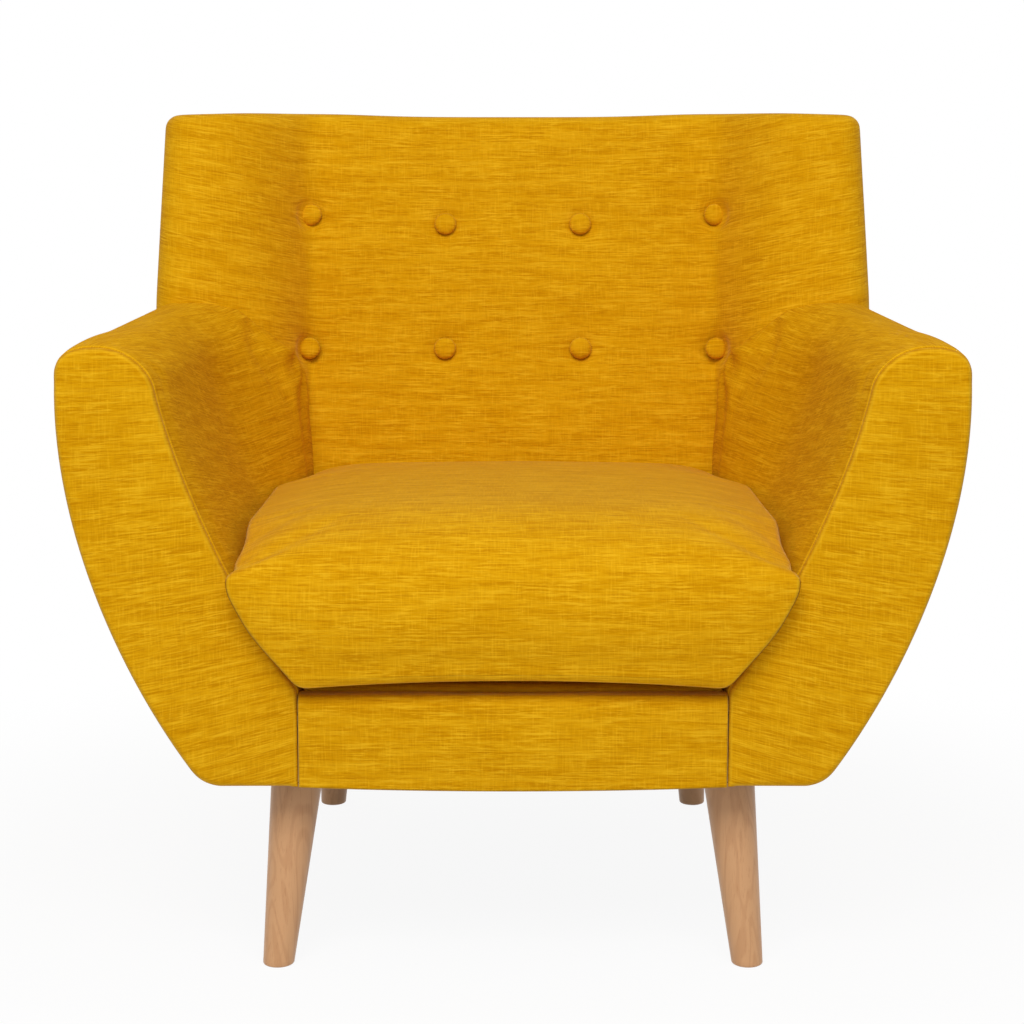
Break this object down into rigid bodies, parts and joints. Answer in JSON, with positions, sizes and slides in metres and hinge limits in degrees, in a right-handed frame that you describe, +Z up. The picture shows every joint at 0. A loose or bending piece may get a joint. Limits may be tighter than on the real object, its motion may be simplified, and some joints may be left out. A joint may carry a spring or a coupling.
{
  "type": "armchair",
  "caption": "Low lounge armchair with a buttoned winged back, flared arms that taper to the seat, a loose seat cushion and splayed tapered wooden legs.",
  "frame": {"origin": "floor level, at the centre of the chair's bounding box", "axes": "+X to the right seen from the front, -Y the way the seat faces, +Z up"},
  "size_m": [0.86, 0.77, 0.85],
  "materials": {
    "slub_fabric": "matte",
    "leg_wood": "satin",
    "frame_hardwood": "matte",
    "frame_plywood": "matte",
    "zinc_steel": "satin",
    "spring_steel": "satin",
    "webbing": "matte",
    "lining": "matte"
  },
  "bodies": {
    "frame": {"leg_front_left": "leg_wood", "leg_front_right": "leg_wood", "leg_rear_left": "leg_wood", "leg_rear_right": "leg_wood", "front_rail": "frame_hardwood", "rear_rail": "frame_hardwood", "side_rail_left": "frame_hardwood", "side_rail_right": "frame_hardwood", "corner_block_front_left": "frame_hardwood", "corner_block_front_right": "frame_hardwood", "corner_block_rear_left": "frame_hardwood", "corner_block_rear_right": "frame_hardwood", "arm_top_rail_left": "frame_hardwood", "arm_top_rail_right": "frame_hardwood", "back_top_rail": "frame_hardwood", "back_lower_rail": "frame_hardwood", "arm_front_panel_left": "frame_plywood", "arm_front_panel_right": "frame_plywood", "arm_rear_panel_left": "frame_plywood", "arm_rear_panel_right": "frame_plywood", "back_upright_left": "frame_plywood", "back_upright_right": "frame_plywood", "wing_board_left": "frame_plywood", "wing_board_right": "frame_plywood", "hanger_bolt_front_left": "zinc_steel", "hanger_bolt_front_right": "zinc_steel", "hanger_bolt_rear_left": "zinc_steel", "hanger_bolt_rear_right": "zinc_steel", "tee_nut_front_left": "zinc_steel", "tee_nut_front_right": "zinc_steel", "tee_nut_rear_left": "zinc_steel", "tee_nut_rear_right": "zinc_steel", "seat_spring_1": "spring_steel", "seat_spring_2": "spring_steel", "seat_spring_3": "spring_steel", "seat_spring_4": "spring_steel", "back_strap_lower": "webbing", "back_strap_upper": "webbing", "seat_deck": "slub_fabric", "front_border": "slub_fabric", "inside_back": "slub_fabric", "outside_back": "slub_fabric", "inside_arm_left": "slub_fabric", "inside_arm_right": "slub_fabric", "outside_arm_left": "slub_fabric", "outside_arm_right": "slub_fabric", "arm_facing_left": "slub_fabric", "arm_facing_right": "slub_fabric", "button_lower_outer_left": "slub_fabric", "button_lower_outer_right": "slub_fabric", "button_lower_inner_left": "slub_fabric", "button_lower_inner_right": "slub_fabric", "button_upper_outer_left": "slub_fabric", "button_upper_outer_right": "slub_fabric", "button_upper_inner_left": "slub_fabric", "button_upper_inner_right": "slub_fabric", "dust_cover": "lining"},
    "seat_cushion": {"seat_cushion": "slub_fabric"}
  },
  "joints": [
    {"name": "seat_cushion_lift", "type": "slide", "parent": "frame", "child": "seat_cushion", "axis": [0, 0, 1], "range_m": [0, 0.6]}
  ]
}
